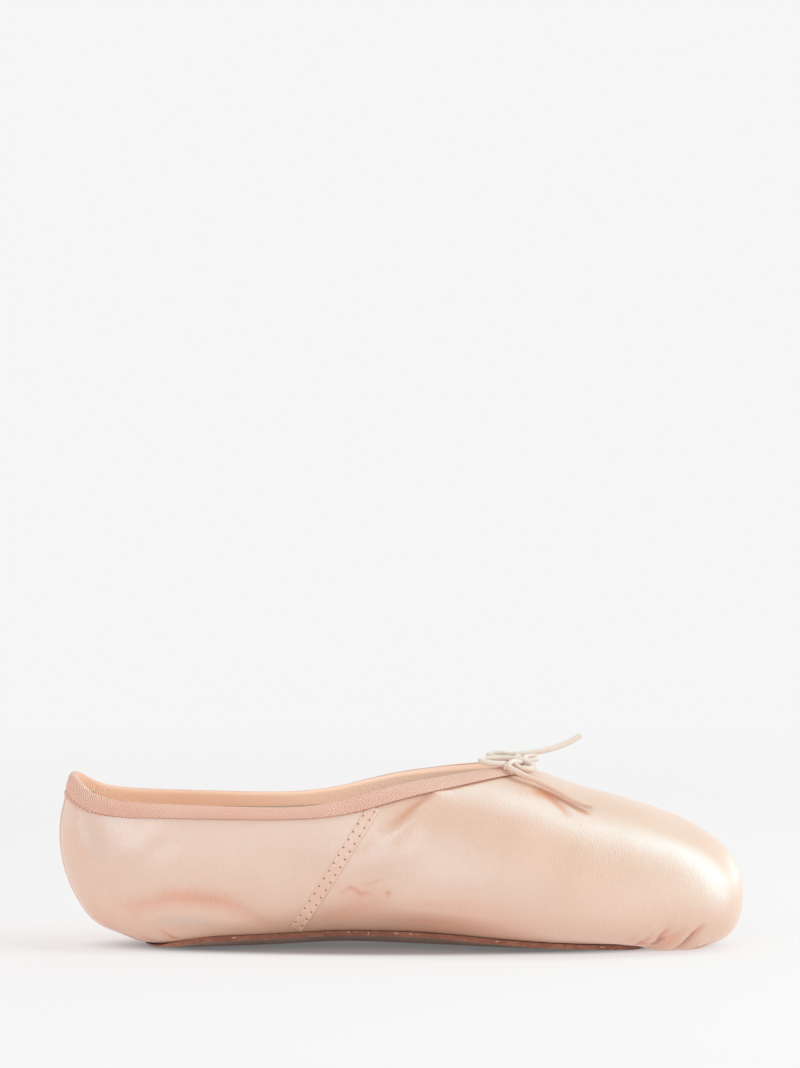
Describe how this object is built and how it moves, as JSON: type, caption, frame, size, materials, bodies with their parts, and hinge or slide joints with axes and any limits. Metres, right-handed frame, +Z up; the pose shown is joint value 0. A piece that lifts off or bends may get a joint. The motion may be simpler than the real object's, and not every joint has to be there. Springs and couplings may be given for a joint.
{
  "type": "pointe shoe",
  "caption": "Satin pointe shoe with a low open collar, tape binding, side seams, drawstring bow, suede sole and a rounded hard toe box.",
  "frame": {"origin": "on the floor, under the middle of the shoe's bounding box", "axes": "+X towards the toe, +Y to the shoe's left as seen from the heel, +Z up from the floor"},
  "size_m": [0.236, 0.078, 0.0728],
  "materials": {
    "satin": "peach-pink satin with a soft sheen",
    "tape": "herringbone cotton tape, matt",
    "suede": "brown suede, matt",
    "lining": "plain cotton, matt",
    "cord": "pale braided cotton cord"
  },
  "bodies": {
    "root": {"upper": "satin", "binding": "tape", "side_seam_left": "satin", "side_seam_right": "satin", "back_seam": "satin", "outsole": "suede", "insole": "lining", "drawstring_knot": "cord", "drawstring_far": "cord", "drawstring_loop": "cord", "drawstring_end": "cord"}
  },
  "joints": []
}
